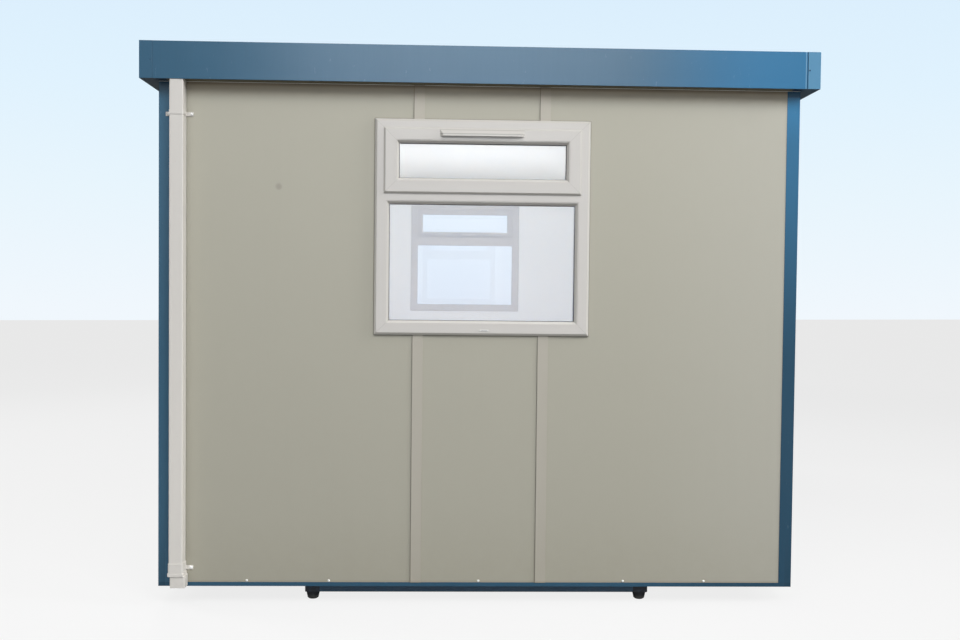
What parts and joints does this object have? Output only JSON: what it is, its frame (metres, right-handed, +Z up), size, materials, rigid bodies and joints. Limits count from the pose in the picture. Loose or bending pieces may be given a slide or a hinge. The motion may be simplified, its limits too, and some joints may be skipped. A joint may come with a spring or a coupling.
{
  "type": "portable site cabin",
  "caption": "Skid-mounted portable site cabin of composite panels, with folded corner posts, a flat roof behind deep fascias, a top-hung window in each end and a side door.",
  "frame": {"origin": "on the ground, midway between the feet, under the middle of the cabin", "axes": "+Z up, -Y out of the front end with the pictured window, +X towards the long side with the door"},
  "size_m": [3.194, 4.994, 2.652],
  "materials": {
    "blue_steel": "mid blue stoved paint on folded steel",
    "panel_skin": "stone grey coated steel skin with a faint grain",
    "navy_steel": "dark navy paint on steel section",
    "black_plastic": "moulded black plastic",
    "black_rubber": "black rubber",
    "galvanised_steel": "galvanised steel",
    "plywood": "plywood board",
    "timber": "sawn softwood",
    "white_lining": "white coated steel lining",
    "roof_steel": "light grey coated profiled steel",
    "white_upvc": "white plastic, satin gloss",
    "window_glass": "clear sealed double glazing",
    "aluminium": "mill finish extrusion",
    "satin_steel": "satin steel"
  },
  "bodies": {
    "root": {"box_gutters": "galvanised_steel", "ceiling_panel": "white_lining", "corner_posts": "blue_steel", "door_frame": "blue_steel", "door_handles": "satin_steel", "door_hinges": "satin_steel", "door_leaf": "blue_steel", "door_threshold": "aluminium", "downpipes": "white_upvc", "end_base_rails": "blue_steel", "end_fascias": "blue_steel", "end_soffits": "panel_skin", "floor_deck": "plywood", "floor_joists": "galvanised_steel", "front_wall_left": "panel_skin", "front_wall_middle": "panel_skin", "front_wall_right": "panel_skin", "inside_corner_trims": "white_lining", "joint_strips": "panel_skin", "left_wall_panel_1": "panel_skin", "left_wall_panel_2": "panel_skin", "left_wall_panel_3": "panel_skin", "left_wall_panel_4": "panel_skin", "pipe_clips": "white_upvc", "pipe_shoes": "white_upvc", "rear_wall_left": "panel_skin", "rear_wall_middle": "panel_skin", "rear_wall_right": "panel_skin", "ridge_cap": "roof_steel", "right_wall_beside_door": "panel_skin", "right_wall_over_and_under_door": "panel_skin", "right_wall_panel_1": "panel_skin", "right_wall_panel_3": "panel_skin", "right_wall_panel_4": "panel_skin", "roof_purlins": "timber", "roof_sheets": "roof_steel", "rubber_feet": "black_rubber", "runner_end_plugs": "black_plastic", "side_base_rails": "blue_steel", "side_fascias": "blue_steel", "skid_cross_beams": "navy_steel", "skid_runners": "navy_steel", "trickle_vents": "white_upvc", "window_beads": "white_upvc", "window_catches": "white_upvc", "window_frames": "white_upvc", "window_gaskets": "black_rubber", "window_glass": "window_glass", "window_sashes": "white_upvc"}
  },
  "joints": []
}
